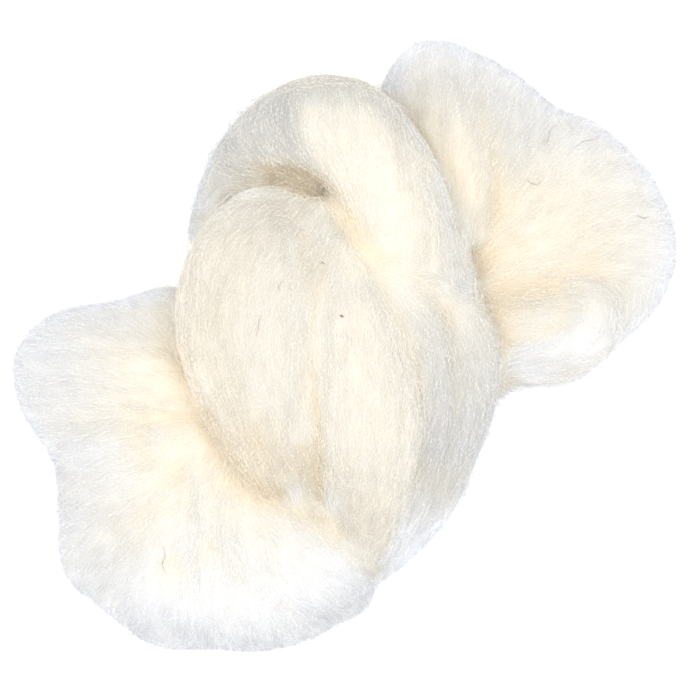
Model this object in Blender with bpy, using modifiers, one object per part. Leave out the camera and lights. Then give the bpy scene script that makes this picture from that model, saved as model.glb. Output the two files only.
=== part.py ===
"""A loose overhand knot of wool roving: one thick, soft, untwisted strand whose two ends fan out.

The knot lies on a flat surface. Each pass of the strand through the knot is a lock, a loft through a
short table of elliptical sections. Each fanned end is a loft of upright slices turned about the pinch
where the strand leaves the knot, with a few locks lying on it. All are joined into one body, softened,
made slightly uneven and cut flat where they rest.
"""

from collections import namedtuple
from math import cos, radians, sin

import bmesh
import bpy
from mathutils import Matrix, Vector

MM = 0.001
OBJECT_NAME = "wool_roving"

# A section of a lock, in millimetres: its centre (x to the right, y away, z up), its half width across
# the run and its half height.
Section = namedtuple("Section", "x y z wide high")

# A slice of a fanned end, in degrees and millimetres: its heading from the pinch (0 is +X, 90 is +Y),
# how far it reaches, the height of its middle above the surface, and its half height.
Slice = namedtuple("Slice", "heading reach middle high")

# The passes of the knot that show, each from its lower or left end.
KNOT = {
    "bulge_left": (
        Section(-15, -64, 20, 11, 11),
        Section(-21, -50, 32, 15, 18),
        Section(-27, -28, 46, 22, 25),
        Section(-32, -2, 52, 28, 28),
        Section(-32, 17, 52, 30, 28),
        Section(-29, 28, 50, 28, 25),
        Section(-24, 38.5, 44, 25, 20),
    ),
    "bulge_right": (
        Section(9, -78, 18, 7, 8),
        Section(9, -67, 29, 14, 15),
        Section(8, -48, 42, 19, 22),
        Section(6, -26, 50, 24, 26),
        Section(3, 0, 54, 22, 26),
        Section(-1, 17, 53, 19, 24),
        Section(-6, 32, 49, 15, 20),
        Section(-9, 43, 44, 13, 17),
    ),
    "side_inner": (
        Section(15, -75, 19, 7, 10),
        Section(22, -58, 26, 11, 15),
        Section(27, -36, 31, 13, 17),
        Section(29, -14, 36, 14, 19),
        Section(25, 6, 42, 15, 20),
        Section(18, 22, 48, 13, 19),
        Section(6, 36, 49, 9, 13),
    ),
    "side_outer": (
        Section(14, -82, 17, 6, 9),
        Section(24, -69, 18, 9, 12),
        Section(33, -52, 20, 12, 15),
        Section(39, -32, 22, 14, 17),
        Section(43, -14, 25, 15, 18),
        Section(43, 3, 31, 15, 18),
        Section(41, 16, 36, 12, 16),
    ),
    "arch": (
        Section(-50, 43, 11, 9, 9),
        Section(-45, 57, 13, 10, 11),
        Section(-36, 71.5, 21, 12, 15),
        Section(-20, 81, 35, 16.5, 20),
        Section(-2, 81, 44, 20, 22),
        Section(10, 70.5, 47, 20, 22),
        Section(19, 55, 49, 19.5, 22),
        Section(25, 39, 47, 19, 21),
        Section(35, 27, 41, 15, 18),
        Section(44, 18, 34, 9, 14),
    ),
}

# The passes that the others hide.
INNER = {
    "first_pass": (
        Section(-42, -38, 22, 14, 14),
        Section(-20, -42, 18, 20, 20),
        Section(10, -44, 18, 20, 20),
        Section(30, -30, 20, 18, 20),
        Section(36, 0, 24, 16, 18),
    ),
    "return_pass": (
        Section(-46, 38, 16, 10, 18),
        Section(-40, 14, 18, 18, 22),
        Section(-30, -20, 18, 20, 22),
        Section(-8, -56, 22, 18, 20),
        Section(4, -70, 19, 13, 17),
    ),
    "last_pass": (
        Section(-30, 32, 22, 20, 26),
        Section(-16, 57, 25, 15, 16),
        Section(0, 58, 24, 17, 16),
        Section(20, 44, 20, 18, 22),
        Section(36, 28, 20, 14, 18),
        Section(50, 20, 20, 12, 14),
    ),
    "heart": (
        Section(-24, 30, 18, 22, 23),
        Section(-14, 10, 18, 30, 24),
        Section(0, -14, 18, 34, 24),
        Section(8, -38, 18, 30, 23),
        Section(10, -58, 15, 16, 18),
    ),
}

# The end at the front left: its pinch, its fan and the locks that lie on the fan.
FRONT_PINCH = (-44, -35)
FRONT_FAN = (
    Slice(100, 57, 12, 9),
    Slice(110, 63, 14, 14),
    Slice(128, 68, 14, 16),
    Slice(147, 84, 13, 16),
    Slice(159, 86.5, 12, 15),
    Slice(172, 77, 11, 13),
    Slice(186, 66, 12, 15),
    Slice(202, 68, 14, 18),
    Slice(220, 79, 14, 18),
    Slice(236, 79, 13, 17),
    Slice(251, 82, 14, 17),
    Slice(266, 79, 18, 23),
    Slice(286, 81, 20, 25),
    Slice(303, 80, 19, 23),
    Slice(315, 78, 16, 18),
    Slice(324, 71, 13, 11),
)
FRONT_LOCKS = {
    "left": (
        Section(-54, -18, 20, 12, 14),
        Section(-74, -9, 20, 16, 14),
        Section(-97, -6, 14, 14, 10),
    ),
    "root": (
        Section(-50, -34, 24, 13, 15),
        Section(-64, -38, 20, 14, 13),
    ),
    "corner": (
        Section(-54, -52, 22, 12, 14),
        Section(-69, -68, 21, 15, 14),
        Section(-84, -83, 16, 12, 11),
    ),
    "middle": (
        Section(-47, -50, 26, 12, 14),
        Section(-51, -66, 25, 15, 15),
        Section(-54, -80, 21, 13, 12),
    ),
    "bottom": (
        Section(-34, -60, 28, 19, 17),
        Section(-23, -80, 28, 24, 19),
        Section(-18, -94, 22, 19, 15),
    ),
    "lobe": (
        Section(-49, -36, 27, 11, 14),
        Section(-41, -57, 33, 16, 17),
        Section(-25, -71, 36, 19, 18),
        Section(-10, -81, 32, 19, 17),
        Section(1, -91, 23, 12, 12),
    ),
}

# The end at the far right, fanned flatter, with one edge rolled over.
FAR_PINCH = (47, 21)
FAR_FAN = (
    Slice(124, 58, 12, 8),
    Slice(114, 84, 12, 12),
    Slice(103, 96, 12, 14),
    Slice(92, 94, 11, 14),
    Slice(78, 85, 12, 15),
    Slice(66, 77, 13, 16),
    Slice(53, 80, 14, 17),
    Slice(38, 81, 14, 17),
    Slice(24, 82, 13, 16),
    Slice(11, 80, 12, 14),
    Slice(-2, 74, 12, 14),
    Slice(-16, 62, 13, 15),
    Slice(-32, 53, 13, 15),
    Slice(-50, 45, 13, 15),
    Slice(-66, 41, 12, 13),
    Slice(-78, 42, 11, 8),
)
FAR_LOCKS = {
    "top": (
        Section(44, 42, 26, 12, 15),
        Section(42, 67, 21, 15, 13),
        Section(38, 92, 15, 13, 10),
    ),
    "right": (
        Section(58, 32, 20, 14, 12),
        Section(71, 42, 20, 18, 13),
        Section(86, 49, 20, 16, 13),
        Section(102, 52, 14, 13, 10),
    ),
    "curl": (
        Section(83, 24, 17, 9, 10),
        Section(92, 15, 20, 11, 14),
        Section(89, 3, 21, 12, 14),
        Section(78, -4, 21, 12, 14),
        Section(65, -4, 20, 10, 14),
    ),
    "curl_heart": (
        Section(54, 9, 18, 12, 11),
        Section(65, 10, 19, 14, 12),
        Section(75, 12, 19, 12, 12),
    ),
}

RING_POINTS = 28
RINGS_A_SPAN = 4
# A lock's blunt end, as steps outward in half widths and the size left there.
END_STEPS = ((0.35, 0.9), (0.62, 0.7), (0.8, 0.4))
# A fan's slices start this far behind the pinch.
TUCK = 6

VOXEL = 2.0 * MM
SMOOTH_FACTOR = 0.5
SMOOTH_ROUNDS = 4
LUMP_SPACING = 26 * MM
LUMP_HEIGHT = 3.0 * MM
TRIANGLES_KEPT = 0.13

WOOL_COLOUR = (0.93, 0.89, 0.80, 1.0)
WOOL_ROUGHNESS = 0.95


def clear_scene():
    for obj in list(bpy.data.objects):
        bpy.data.objects.remove(obj, do_unlink=True)


def new_collection(name):
    collection = bpy.data.collections.new(name)
    bpy.context.scene.collection.children.link(collection)
    return collection


def blend(rows, place):
    """The row at a place along a table, on a smooth curve through its rows."""
    last = len(rows) - 1
    at = min(int(place), last - 1)
    t = place - at
    before, start, end, after = (Vector(rows[min(max(i, 0), last)]) for i in range(at - 1, at + 3))
    t2, t3 = t * t, t * t * t
    mixed = start * (2 * t3 - 3 * t2 + 1) + end * (3 * t2 - 2 * t3)
    mixed += (end - before) / 2 * (t3 - 2 * t2 + t) + (after - start) / 2 * (t3 - t2)
    return type(rows[0])(*mixed)


def filled_in(rows):
    """The table with rows blended in between its own."""
    count = (len(rows) - 1) * RINGS_A_SPAN
    return [blend(rows, i / RINGS_A_SPAN) for i in range(count + 1)]


def centre_of(section):
    return Vector((section.x, section.y, section.z))


def end_section(last, previous, step, left):
    outward = (centre_of(last) - centre_of(previous)).normalized()
    centre = centre_of(last) + outward * last.wide * step
    return Section(*centre, last.wide * left, last.high * left)


def lock_sections(rows):
    """A lock's sections close together, with blunt ends, each with the direction of the run there."""
    inner = filled_in(rows)
    head = [end_section(inner[0], inner[1], *step) for step in reversed(END_STEPS)]
    tail = [end_section(inner[-1], inner[-2], *step) for step in END_STEPS]
    sections = head + inner + tail
    last = len(sections) - 1
    runs = [
        (centre_of(sections[min(i + 1, last)]) - centre_of(sections[max(i - 1, 0)])).normalized()
        for i in range(last + 1)
    ]
    return list(zip(sections, runs))


def fan_sections(pinch, rows):
    """A fan's slices close together, each with the direction in which the fan is swept there."""
    swept = []
    turn = 1 if rows[-1].heading > rows[0].heading else -1
    for row in filled_in(rows):
        heading = radians(row.heading)
        toward = Vector((cos(heading), sin(heading), 0))
        centre = Vector((*pinch, row.middle)) + toward * (row.reach - TUCK) / 2
        section = Section(*centre, (row.reach + TUCK) / 2, row.high)
        swept.append((section, turn * Vector((-toward.y, toward.x, 0))))
    return swept


def ring_frame(section, run):
    """A matrix that places a unit circle as the section, square to the run."""
    across = run.cross(Vector((0, 0, 1))).normalized()
    frame = Matrix.Identity(4)
    frame.col[0].xyz = across * section.wide * MM
    frame.col[1].xyz = across.cross(run) * section.high * MM
    frame.col[2].xyz = run * MM
    frame.translation = centre_of(section) * MM
    return frame


def add_loft(bm, sections):
    """Lofts one closed body through sections, each given with its run."""
    rings = []
    for section, run in sections:
        frame = ring_frame(section, run)
        made = bmesh.ops.create_circle(bm, segments=RING_POINTS, radius=1, matrix=frame)
        rings.append(list({edge for vert in made["verts"] for edge in vert.link_edges}))
    for ring in (rings[0], rings[-1]):
        bmesh.ops.contextual_create(bm, geom=ring)
    for first, second in zip(rings, rings[1:]):
        bmesh.ops.bridge_loops(bm, edges=first + second)


def locks_mesh():
    bm = bmesh.new()
    for group in (KNOT, INNER, FRONT_LOCKS, FAR_LOCKS):
        for rows in group.values():
            add_loft(bm, lock_sections(rows))
    add_loft(bm, fan_sections(FRONT_PINCH, FRONT_FAN))
    add_loft(bm, fan_sections(FAR_PINCH, FAR_FAN))
    bmesh.ops.recalc_face_normals(bm, faces=bm.faces)
    mesh = bpy.data.meshes.new("locks")
    bm.to_mesh(mesh)
    bm.free()
    return mesh


def add_softening(obj):
    """Joins the locks into one skin, rounds their creases and makes the skin gently uneven."""
    skin = obj.modifiers.new("one_skin", "REMESH")
    skin.mode = "VOXEL"
    skin.voxel_size = VOXEL
    soften = obj.modifiers.new("soften", "SMOOTH")
    soften.factor = SMOOTH_FACTOR
    soften.iterations = SMOOTH_ROUNDS
    lumps = bpy.data.textures.new("lumps", "CLOUDS")
    lumps.noise_scale = LUMP_SPACING
    uneven = obj.modifiers.new("uneven", "DISPLACE")
    uneven.texture = lumps
    uneven.strength = LUMP_HEIGHT
    uneven.mid_level = 0.5
    thin = obj.modifiers.new("thin", "DECIMATE")
    thin.ratio = TRIANGLES_KEPT


def evaluated_mesh(obj):
    graph = bpy.context.evaluated_depsgraph_get()
    return bpy.data.meshes.new_from_object(obj.evaluated_get(graph), depsgraph=graph)


def scraps_of(bm):
    """The vertices outside the largest connected piece."""
    left = set(bm.verts)
    pieces = []
    while left:
        front = [left.pop()]
        piece = set(front)
        while front:
            near = {edge.other_vert(vert) for vert in front for edge in vert.link_edges} - piece
            piece |= near
            front = list(near)
        left -= piece
        pieces.append(piece)
    pieces.sort(key=len)
    return [vert for piece in pieces[:-1] for vert in piece]


def cut_flat(mesh):
    """Cuts away what lies below the surface and closes the cut with flat faces."""
    bm = bmesh.new()
    bm.from_mesh(mesh)
    geometry = bm.verts[:] + bm.edges[:] + bm.faces[:]
    cut = bmesh.ops.bisect_plane(
        bm, geom=geometry, dist=1e-6, plane_co=(0, 0, 0), plane_no=(0, 0, 1), clear_inner=True
    )
    edges = [item for item in cut["geom_cut"] if isinstance(item, bmesh.types.BMEdge)]
    bmesh.ops.triangle_fill(bm, edges=edges, use_beauty=True, normal=(0, 0, -1))
    bmesh.ops.delete(bm, geom=scraps_of(bm), context="VERTS")
    bmesh.ops.recalc_face_normals(bm, faces=bm.faces)
    bm.to_mesh(mesh)
    bm.free()


def centre_on_origin(mesh):
    """Moves the mesh sideways so that its box is centred on the origin."""
    for axis in (0, 1):
        places = [vertex.co[axis] for vertex in mesh.vertices]
        step = Vector((0, 0, 0))
        step[axis] = -(min(places) + max(places)) / 2
        mesh.transform(Matrix.Translation(step))


def wool_material():
    material = bpy.data.materials.new("natural_wool")
    material.use_nodes = True
    shader = material.node_tree.nodes["Principled BSDF"]
    shader.inputs["Base Color"].default_value = WOOL_COLOUR
    shader.inputs["Roughness"].default_value = WOOL_ROUGHNESS
    shader.inputs["Metallic"].default_value = 0.0
    return material


def build_roving(collection):
    locks = bpy.data.objects.new("locks", locks_mesh())
    collection.objects.link(locks)
    add_softening(locks)
    mesh = evaluated_mesh(locks)
    bpy.data.objects.remove(locks, do_unlink=True)
    cut_flat(mesh)
    centre_on_origin(mesh)
    mesh.name = OBJECT_NAME
    mesh.materials.clear()
    mesh.materials.append(wool_material())
    mesh.shade_smooth()
    obj = bpy.data.objects.new(OBJECT_NAME, mesh)
    collection.objects.link(obj)


def main():
    clear_scene()
    build_roving(new_collection("wool_roving_knot"))


main()
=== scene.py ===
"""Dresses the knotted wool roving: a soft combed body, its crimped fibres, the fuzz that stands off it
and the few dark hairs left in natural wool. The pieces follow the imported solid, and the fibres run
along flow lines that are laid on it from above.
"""

import math
from collections import namedtuple

import bmesh
import bpy
import numpy as np
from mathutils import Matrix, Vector
from mathutils.bvhtree import BVHTree


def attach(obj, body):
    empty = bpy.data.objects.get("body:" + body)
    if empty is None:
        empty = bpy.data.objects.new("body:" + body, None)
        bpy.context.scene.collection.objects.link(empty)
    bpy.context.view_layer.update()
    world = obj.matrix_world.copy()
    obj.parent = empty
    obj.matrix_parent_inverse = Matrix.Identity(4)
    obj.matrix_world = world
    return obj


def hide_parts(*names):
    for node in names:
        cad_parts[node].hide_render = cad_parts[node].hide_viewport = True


bl_info = {
    "name": "Knotted wool roving",
    "version": (1, 0, 0),
    "blender": (4, 5, 0),
    "location": "View3D > Sidebar > Wool",
    "description": "Builds the soft body, fibres, fuzz and stray hairs of a knotted length of wool roving",
    "category": "Object",
}

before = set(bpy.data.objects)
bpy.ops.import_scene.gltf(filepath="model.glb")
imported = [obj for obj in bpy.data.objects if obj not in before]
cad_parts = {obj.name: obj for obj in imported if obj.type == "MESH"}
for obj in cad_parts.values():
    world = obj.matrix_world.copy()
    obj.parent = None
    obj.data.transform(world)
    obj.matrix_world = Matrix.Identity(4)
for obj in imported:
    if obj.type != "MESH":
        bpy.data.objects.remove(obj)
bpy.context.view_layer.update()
ROVING_NODE = "wool_roving"
MM = 0.001

BODY_NAME = "wool_body"
# How high above the surface that the knot lies on the middle of the lowest fibres runs.
LOWEST = 0.2 * MM
# Each fibre's colour lies on a map of this name: its lightness across, its warmth upward, both with
# painted light and shade in them.
FIBRE_MAP = "OFBake"
# The width and height of one face on the fibre map.
PATCH = 0.004
# The lightness of the darkest fibre, how much lighter the lightest is, and how far between the two most
# fibres lie.
DARKEST_FIBRE = 0.66
FIBRE_RANGE = 0.40
USUAL_LIGHT = 0.62
WARMTH = "warmth"
LIGHT = "light"
# How far along its lines the rim of a part begins.
RIM_FROM = 0.8
# Where plain wool lies between thin wool at 0, with its painted cool light, and deep folds at 1, with
# their painted warm shade.
PLAIN = 0.5
# How much of a fibre's crimp lifts it, how much a long slow bend swings it aside, and the pace of both,
# against the crimp's own swing to the sides.
CRIMP_LIFT = 0.6
CRIMP_LIFT_PACE = 1.07
BEND = 1.2
BEND_PACE = 0.31

# Where the fibres run, seen from above, in millimetres from the frame's origin. Each line follows one
# wisp. The lines of a fanned end start at its pinch, and those of the bulge at its lower end.
FLOW_LINES = {
    "front_fan": (
        ((-52, -15), (-67, -2), (-82, 9), (-93, 14)),
        ((-52, -20), (-72, -10), (-95, -3), (-119, 0)),
        ((-52, -25), (-72, -22), (-98, -19), (-120, -18)),
        ((-50, -30), (-72, -33), (-95, -38), (-110, -43)),
        ((-49, -33), (-69, -45), (-89, -56), (-106, -65)),
        ((-48, -36), (-65, -54), (-82, -72), (-97, -89)),
    ),
    "front_lobe": (
        ((-46, -39), (-57, -61), (-66, -84), (-76, -108)),
        ((-43, -42), (-51, -65), (-55, -87), (-56, -111)),
        ((-41, -45), (-42, -69), (-38, -91), (-31, -113)),
        ((-38, -48), (-32, -69), (-22, -89), (-6, -103)),
        ((-35, -52), (-23, -65), (-10, -80), (6, -95)),
        ((-30, -56), (-15, -65), (-2, -75), (11, -88)),
    ),
    "bulge_left": (
        ((-31, -55), (-45, -35), (-55, -13), (-59, 9), (-59, 28), (-55, 41), (-43, 51)),
        ((-24, -58), (-37, -32), (-46, -2), (-46, 20), (-37, 39), (-22, 52)),
    ),
    "bulge": (
        ((-17, -59), (-26, -32), (-31, -2), (-28, 20), (-19, 37), (-9, 49)),
        ((-10, -61), (-14, -32), (-17, -6), (-15, 17), (-9, 32), (-3, 42)),
        ((-4, -65), (-6, -35), (-7, -9), (-7, 13), (-4, 28), (-1, 39)),
        ((2, -71), (4, -39), (2, -13), (0, 9), (0, 24), (1, 37)),
        ((6, -76), (15, -46), (17, -20), (12, 2), (6, 20), (2, 35)),
        ((11, -82), (22, -50), (26, -24), (21, 0), (14, 19), (6, 32)),
    ),
    "side_top": (
        ((3, 37), (12, 31), (26, 27), (46, 20)),
        ((6, 31), (17, 24), (30, 20), (47, 17)),
    ),
    "side": (
        ((9, 28), (20, 17), (32, 0), (35, -20), (32, -43)),
        ((20, 24), (33, 11), (42, -7), (44, -28), (39, -48)),
        ((35, 20), (46, 9), (52, -7), (53, -24), (48, -43)),
    ),
    "side_end": (
        ((32, -43), (23, -65), (15, -85)),
        ((39, -48), (30, -67), (17, -87)),
        ((48, -43), (38, -61), (24, -80)),
    ),
    "arch_rim": (
        ((50, 20), (46, 39), (39, 56), (30, 72), (20, 87)),
        ((15, 93), (0, 98), (-17, 96), (-31, 91), (-42, 81), (-51, 69), (-56, 56)),
    ),
    "arch_right": (
        ((41, 22), (39, 41), (33, 58), (26, 72), (19, 85)),
        ((30, 27), (30, 45), (25, 61), (20, 76), (14, 88)),
    ),
    "arch": (
        ((20, 31), (20, 48), (16, 65), (12, 80), (9, 93)),
        ((11, 35), (9, 48), (6, 63), (3, 78), (0, 94)),
        ((4, 42), (0, 56), (-7, 67), (-11, 78), (-11, 94)),
    ),
    "arch_left": (
        ((-1, 52), (-10, 62), (-19, 71), (-23, 81), (-23, 93)),
        ((-7, 58), (-20, 65), (-31, 72), (-35, 81), (-32, 90)),
        ((-17, 61), (-31, 66), (-40, 69), (-45, 73), (-43, 80)),
    ),
    "far_top": (
        ((20, 72), (20, 91), (21, 108)),
        ((30, 61), (31, 87), (33, 110)),
        ((39, 54), (43, 84), (48, 108)),
        ((41, 43), (50, 72), (61, 101)),
        ((45, 35), (59, 61), (75, 89)),
    ),
    "far_fan": (
        ((46, 30), (65, 50), (90, 80)),
        ((47, 26), (69, 41), (91, 56), (111, 67)),
        ((48, 23), (72, 33), (98, 45), (121, 49)),
        ((49, 21), (74, 27), (102, 32), (123, 33)),
    ),
    "far_curl": (
        ((50, 20), (72, 22), (93, 22), (103, 15), (99, 2), (87, -6), (72, -11)),
        ((51, 17), (69, 17), (85, 17), (94, 10), (89, 1), (78, -4), (65, -7)),
        ((52, 15), (65, 13), (76, 11), (81, 6), (76, 1), (67, -3)),
    ),
    "far_rim": (
        ((115, 20), (110, 7), (97, -4), (80, -11), (63, -15)),
    ),
}

# How light and shade are painted along each part's lines. Where they start the wool is gathered: how warm
# it is painted there, as shade, how light it is there, and how far along that wears off. Then where it
# begins to open out, how pale it is painted, as light through thin wool, how light it is at their ends,
# and how much lighter at the very rim. These lightnesses are painted light and shade, and one below 0 is
# darker.
PaintedRun = namedtuple("PaintedRun", "warm near wears_off opens_from pale far rim")

PAINTED_RUNS = {
    "front_fan": PaintedRun(0.24, 0.38, 0.65, 0.50, 0.80, -0.12, 0.00),
    "front_lobe": PaintedRun(0.30, 0.15, 0.40, 0.10, 1.00, 0.25, -0.50),
    "bulge_left": PaintedRun(0.36, -0.12, 1.50, 0.80, 0.00, -0.15, 0.00),
    "bulge": PaintedRun(0.30, -0.25, 0.30, 0.75, 0.00, -0.12, 0.00),
    "side_top": PaintedRun(0.00, 0.40, 0.70, 0.60, 0.20, -0.10, 0.00),
    "side": PaintedRun(0.00, 0.40, 0.25, 0.00, 0.70, -0.50, 0.00),
    "side_end": PaintedRun(0.00, -0.45, 0.70, 0.00, 1.50, -0.05, 0.00),
    "arch_rim": PaintedRun(0.00, -0.42, 4.00, 0.00, 0.35, 0.00, 0.00),
    "arch_right": PaintedRun(0.12, 0.00, 1.00, 0.60, 0.30, -0.40, 0.00),
    "arch": PaintedRun(0.10, 0.28, 1.20, 0.90, 0.25, -0.35, 0.00),
    "arch_left": PaintedRun(0.00, -0.10, 0.40, 0.15, 0.50, -0.72, 0.00),
    "far_top": PaintedRun(0.45, 0.12, 0.60, 0.50, 0.70, -0.30, 0.30),
    "far_fan": PaintedRun(0.38, 0.24, 1.00, 0.65, 0.60, 0.02, 0.00),
    "far_curl": PaintedRun(0.60, -0.05, 0.35, 0.35, 1.20, 0.34, -0.10),
    "far_rim": PaintedRun(0.00, 0.00, 0.10, 0.00, 0.60, 0.00, 0.00),
}

# Light and shade painted into the wool along lines: how far each reaches to its sides, how much lighter
# and how much warmer the wool is painted in its middle, and the line it follows, seen from above, in
# millimetres.
PaintedTone = namedtuple("PaintedTone", "reach light warm line")

PAINTED_TONES = {
    "front_corner": PaintedTone(14.0, 0.00, -0.11, ((-106, 0), (-98, -11))),
    "front_groove": PaintedTone(6.0, 0.00, -0.15, ((-84, -32), (-72, -31))),
    "front_fold": PaintedTone(5.0, 0.00, -0.12, ((-62, -46), (-63, -51))),
    "front_middle": PaintedTone(9.0, 0.08, -0.15, ((-89, -41), (-83, -48))),
    "bulge_side": PaintedTone(3.0, 0.00, 0.15, ((-60, 0), (-59, -7), (-57, -15), (-55, -20))),
    "bulge_on_fan": PaintedTone(
        3.2,
        -0.26,
        0.48,
        ((-52, -26), (-49, -32), (-46, -38), (-42, -43), (-39, -48), (-34, -52), (-30, -55), (-24, -55)),
    ),
    "crease_between_bulges": PaintedTone(
        1.6,
        -0.05,
        0.26,
        ((-12, -11), (-11, -22.5), (-10.5, -29.5), (-9.5, -39), (-9.5, -50), (-9.5, -57)),
    ),
    "crease_top": PaintedTone(2.5, 0.00, 0.13, ((-6, 35), (-9, 22), (-11, 9), (-12, -2), (-12, -11))),
    "between_bulges": PaintedTone(1.4, -0.15, 0.15, ((-10.5, -20.5), (-9.5, -28), (-9.5, -35.5), (-9, -44.5))),
    "upper_bulges": PaintedTone(4.0, 0.05, -0.20, ((-13, 13), (-13, -13), (-15, -32))),
    "right_bulge": PaintedTone(12.0, 0.07, 0.05, ((6, 6), (9, -13), (10, -28))),
    "low_bulge": PaintedTone(10.0, -0.06, 0.20, ((-33, -35), (-26, -44))),
    "bulge_foot": PaintedTone(4.5, 0.32, -0.40, ((-18, -55), (-12, -58), (-6, -60))),
    "bulge_top": PaintedTone(2.5, 0.35, -0.10, ((-37, 56), (-28, 57), (-19, 55), (-11, 53), (-6, 51))),
    "bulge_shoulder": PaintedTone(4.0, 0.30, 0.05, ((0, 35), (4, 27))),
    "pocket_left": PaintedTone(3.5, 0.30, -0.35, ((-49, 51), (-46, 55), (-40, 59), (-34, 61))),
    "slit": PaintedTone(3.0, -0.50, 0.00, ((-27, 62), (-20, 62), (-15, 60), (-9, 57))),
    "arch_flank": PaintedTone(3.5, -0.10, 0.00, ((1, 48), (5, 39))),
    "arch_side": PaintedTone(4.5, -0.14, -0.20, ((34, 59), (38, 48), (40, 35), (43, 22))),
    "arch_on_fan": PaintedTone(2.4, 0.38, -0.20, ((30, 82), (34, 72), (37, 63), (40, 54), (44, 45), (46, 37))),
    "fan_by_arch": PaintedTone(9.0, 0.18, 0.05, ((43, 72), (48, 58))),
    "far_root": PaintedTone(4.0, -0.08, 0.12, ((52, 31), (58, 35), (63, 38))),
    "under_curl": PaintedTone(6.0, -0.30, 0.15, ((64, -6), (72, -6), (81, -8))),
    "curl_middle": PaintedTone(6.0, -0.06, 0.10, ((69, 13), (74, 9))),
    "curl_rim": PaintedTone(5.0, -0.15, 0.00, ((103, 20), (102, 11), (98, 6))),
}

# Dark hairs and specks in the wool: how wide each is and the line it follows, seen from above, in
# millimetres.
STRAY_HAIRS = {
    "speck_on_bulge": (0.7, ((-1.7, 10.7), (-1.1, 10.4), (-0.5, 10.0))),
    "smudge_on_bulge": (0.35, ((-8.7, 29.3), (-7.9, 29.8), (-7.2, 29.0))),
    "hair_on_bulge": (0.13, ((-30.5, 10.8), (-31.6, 8.2), (-31.6, 5.6), (-32.7, 3))),
    "hair_high_on_bulge": (0.13, ((-23, 23), (-24.5, 21.2), (-24.1, 19.3))),
    "hair_on_front_end": (0.16, ((-67.5, -74.0), (-66.6, -77.5), (-67.8, -81.0), (-66.0, -85.0))),
    "hair_across_far_end": (0.14, ((78.4, 81.3), (76.1, 79.1), (75.8, 76.5), (73.9, 73.9))),
    "hair_on_far_end_top": (0.14, ((94.7, 77.6), (91.7, 75.8), (88.4, 75.4), (85.1, 72.8))),
    "hair_on_far_end_middle": (0.14, ((67.2, 61.7), (69.1, 59.8), (71.7, 59.4), (72.8, 60.9))),
    "hair_on_far_end_right": (0.18, ((108.0, 48.4), (110.6, 47.2), (112.8, 47.8))),
}


# --- Settings ---------------------------------------------------------------------------------------


def length_setting(name, description, default):
    """A size."""
    return bpy.props.FloatProperty(name=name, description=description, default=default, unit="LENGTH")


def number_setting(name, description, default):
    """A share or a strength."""
    return bpy.props.FloatProperty(name=name, description=description, default=default)


def angle_setting(name, description, default):
    """An angle."""
    return bpy.props.FloatProperty(name=name, description=description, default=default, subtype="ANGLE")


def count_setting(name, description, default):
    """A whole number."""
    return bpy.props.IntProperty(name=name, description=description, default=default)


def colour_setting(name, description, default):
    """A colour."""
    return bpy.props.FloatVectorProperty(
        name=name, description=description, default=default, subtype="COLOR"
    )


class RovingColourSettings(bpy.types.PropertyGroup):
    """The colours of natural white wool, with a painted warm shade for its folds and a painted cool light
    for its thin edges.
    """

    lit: colour_setting("Wool colour", "Thick, open wool", (0.905, 0.865, 0.775))
    # Painted shade: the warm colour of the folds stands in for light that scatters deep in the wool there.
    fold_shade: colour_setting(
        "Fold colour", "Wool deep in the folds, where light passes through many fibres", (0.93, 0.81, 0.62)
    )
    # Painted light: the cool pale colour of thin wool stands in for light from below that passes through
    # it.
    thin: colour_setting(
        "Thin colour", "Wool so thin that light passes straight through it", (0.885, 0.895, 0.92)
    )


class RovingBodySettings(bpy.types.PropertyGroup):
    """The combed body of the strand."""

    skin_step: length_setting("Skin step", "Size of the faces of the body's skin", 1.4 * MM)
    inset: length_setting("Inset", "How far the body lies below the fibres that cover it", 0.6 * MM)
    thin_inset: length_setting(
        "Thin inset", "How much further the body draws back where the wool thins out", 0.3 * MM
    )
    wisp_height: length_setting(
        "Wisp height", "How far the wisps stand proud of the troughs between them", 0.04 * MM
    )
    wisp_light: number_setting(
        "Wisp lightness", "How much lighter or darker one wisp is than the next", 0.03
    )
    # Painted light: thin wool is coloured lighter, for the light that passes through it.
    painted_thin_light: number_setting(
        "Thin lightness", "How much lighter thin wool is, where below 0 is darker", 0.12
    )
    # Painted shade: the body is coloured darker, for the shade of the fibres that cover it.
    shade: number_setting("Shade", "How much darker the body is than the fibres that cover it", 0.12)
    # Painted light: the deepest hollows are coloured lighter, for the light that bounces about inside
    # them.
    painted_deep_light: number_setting(
        "Deep lightness", "How much lighter the deepest hollows are, where below 0 is darker", 0.30
    )
    glow_depth: length_setting("Glow depth", "How far light travels inside the wool", 4.0 * MM)


class RovingFibreSettings(bpy.types.PropertyGroup):
    """The crimped fibres that lie on the body."""

    fibres: count_setting("Fibres", "How many fibres lie on the whole knot", 37000)
    points: count_setting("Points", "Points along each fibre", 10)
    step: length_setting("Step", "Distance between the points of a fibre", 0.55 * MM)
    width: length_setting("Width", "Width of a few fibres that cling together", 0.20 * MM)
    stray: angle_setting("Stray", "How far a fibre turns from the run of the wool", math.radians(24))
    crimp_length: length_setting("Crimp length", "Length of one wave of a fibre's crimp", 2.0 * MM)
    crimp_height: length_setting("Crimp height", "How far the crimp swings to each side", 0.29 * MM)
    lift: length_setting("Lift", "How far the highest fibres stand off the body", 0.8 * MM)
    facing: number_setting(
        "Facing", "How far the fibres on steep wool turn their flat side up, as round fibres seem to", 1.0
    )
    roll: angle_setting(
        "Roll", "How far a fibre rolls over from one wave of its crimp to the next", math.radians(35)
    )


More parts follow.
